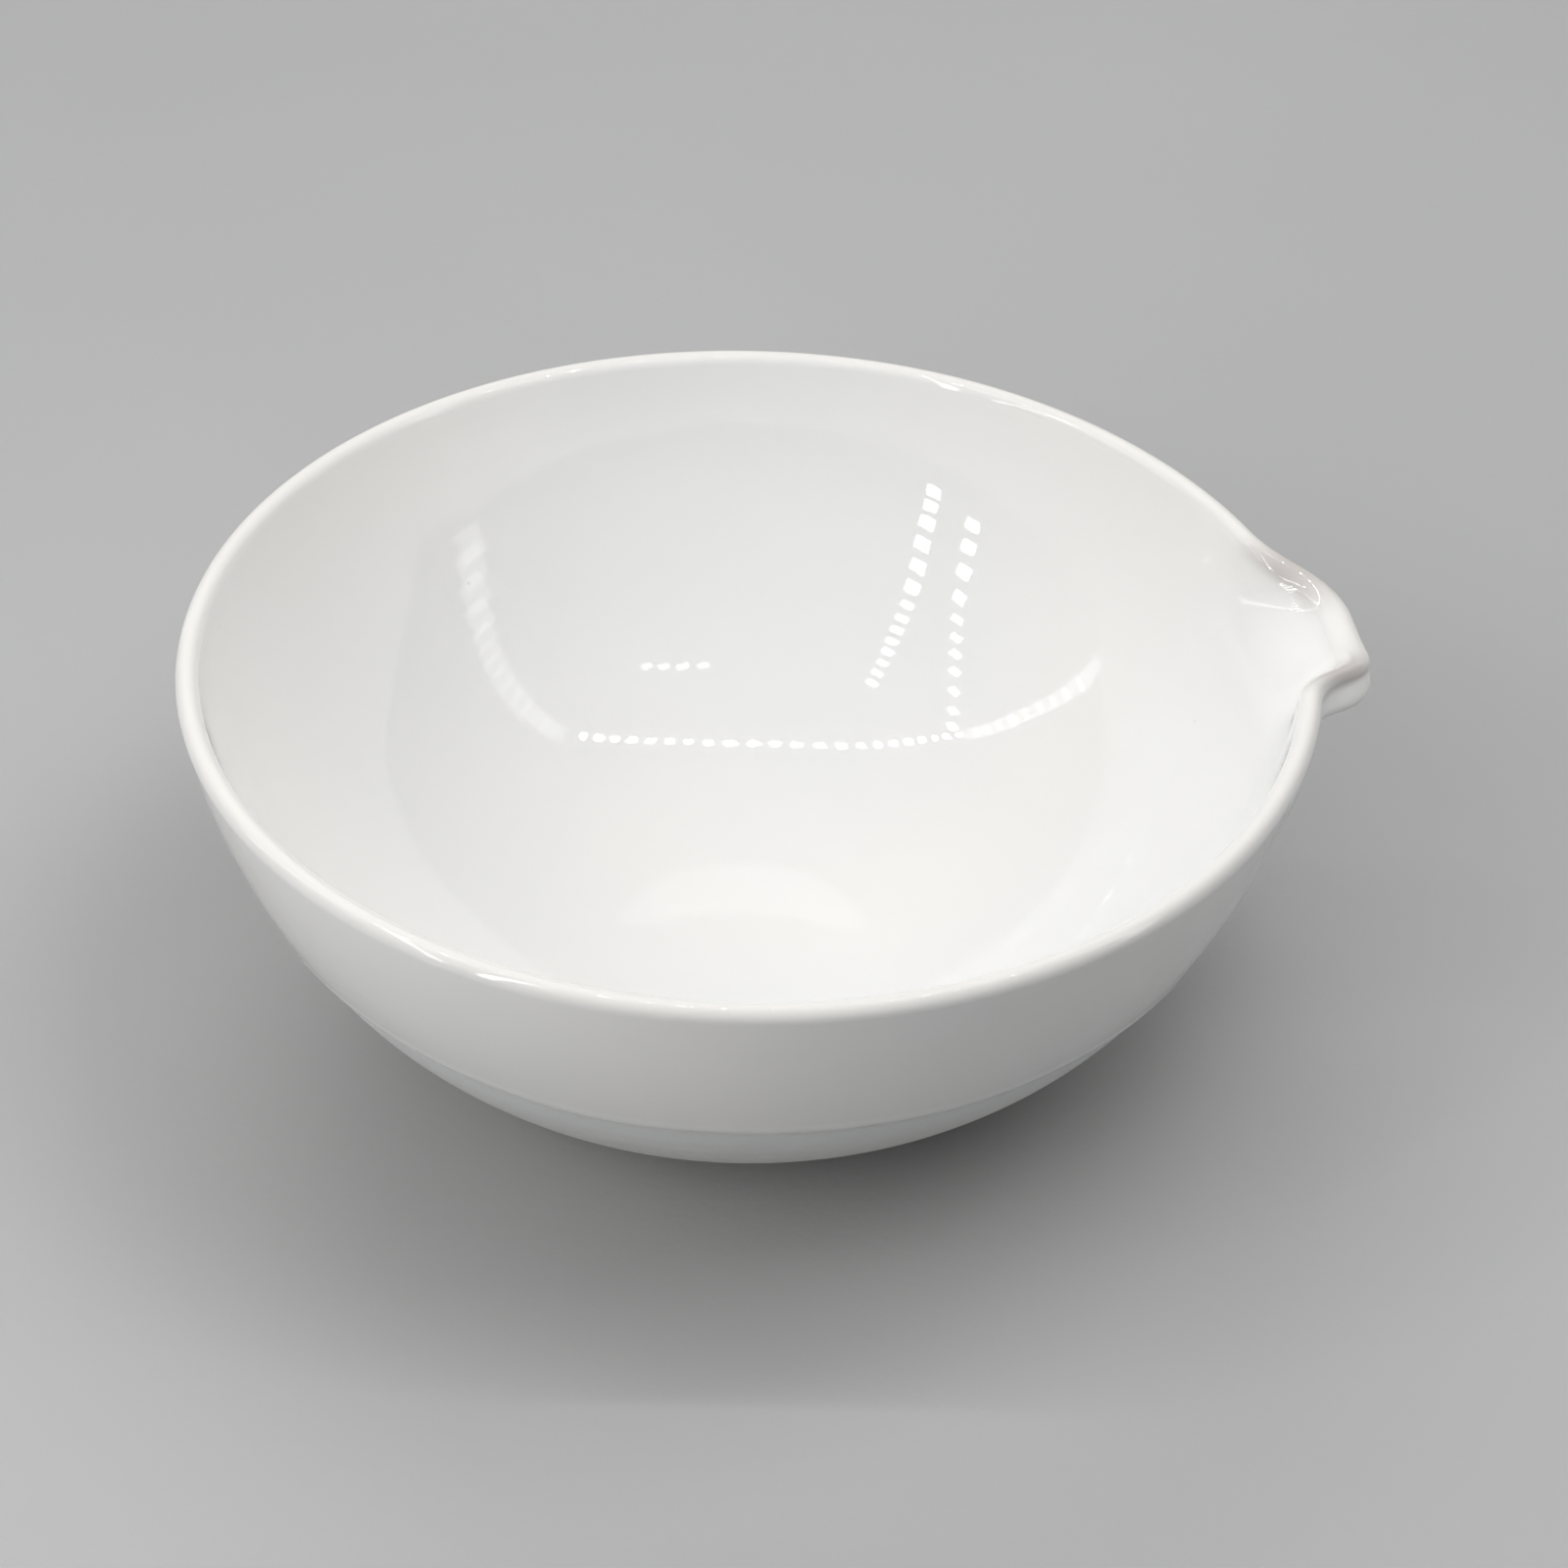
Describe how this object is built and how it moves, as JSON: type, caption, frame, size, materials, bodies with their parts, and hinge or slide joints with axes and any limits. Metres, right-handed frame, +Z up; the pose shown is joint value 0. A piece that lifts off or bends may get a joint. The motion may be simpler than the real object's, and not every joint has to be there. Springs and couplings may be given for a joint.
{
  "type": "evaporating dish",
  "caption": "Round white porcelain evaporating dish with a small flat foot, rounded rim and pulled pouring spout, glazed inside and on the upper outside.",
  "frame": {"origin": "centre of the flat foot, on the surface that the dish stands on", "axes": "+Z up through the mouth, +X towards the pouring spout"},
  "size_m": [0.1057, 0.0998, 0.0377],
  "materials": {
    "bare_porcelain": "matte, unglazed fired porcelain",
    "inside_glaze": "high-gloss white glaze",
    "outside_glaze": "high-gloss white glaze"
  },
  "bodies": {
    "root": {"porcelain_body": "bare_porcelain", "inside_glaze": "inside_glaze", "outside_glaze": "outside_glaze"}
  },
  "joints": []
}
